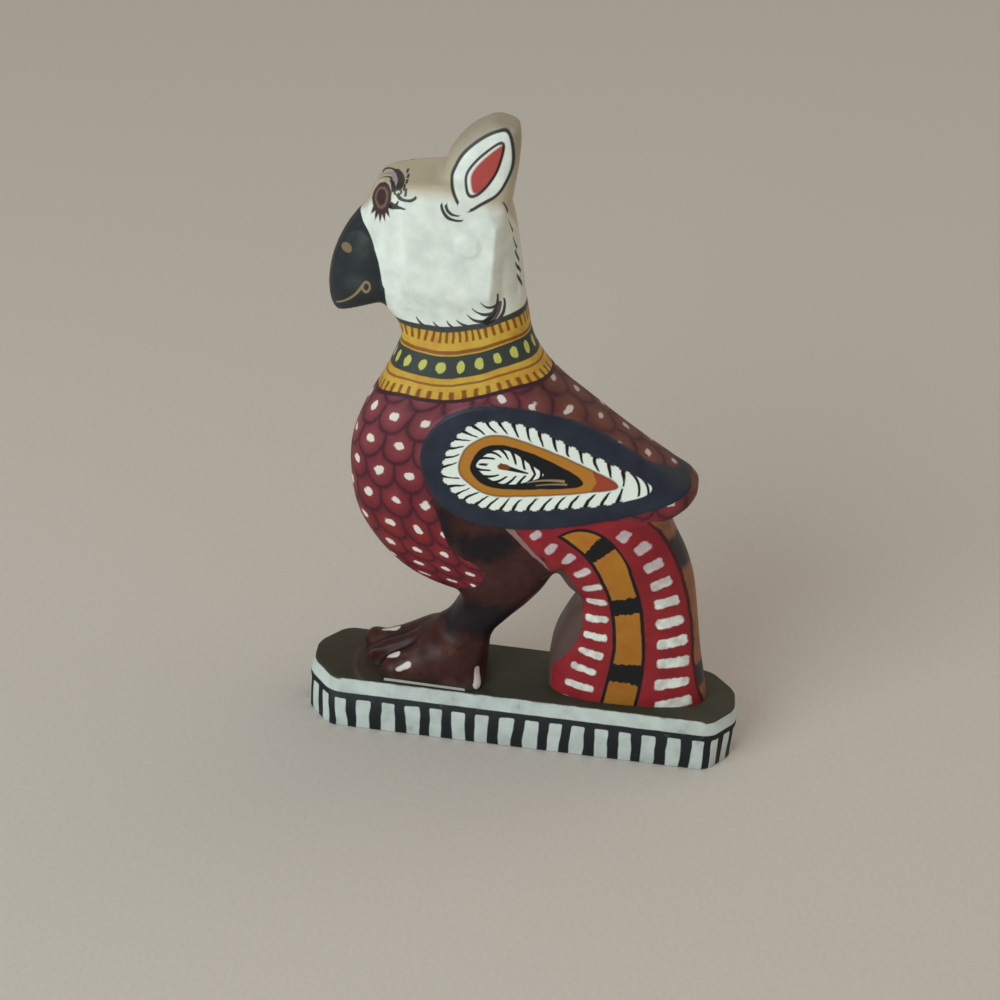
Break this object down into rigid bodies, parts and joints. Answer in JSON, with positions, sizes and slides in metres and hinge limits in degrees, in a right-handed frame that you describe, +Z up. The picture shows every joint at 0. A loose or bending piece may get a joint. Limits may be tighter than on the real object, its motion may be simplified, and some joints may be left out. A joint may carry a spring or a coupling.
{
  "type": "wooden bird figurine",
  "caption": "Carved and painted wooden bird standing on its own oblong plinth, with a hooked beak, an upright crest and a tail that reaches down to the plinth.",
  "frame": {"origin": "centre of the plinth's flat underside", "axes": "+Z up, the bird faces -Y, +X is its left side"},
  "size_m": [0.0242, 0.0999, 0.1483],
  "materials": {
    "painted_wood": "hand-painted with a satin varnish"
  },
  "bodies": {
    "root": {"bird_figurine": "painted_wood"}
  },
  "joints": []
}
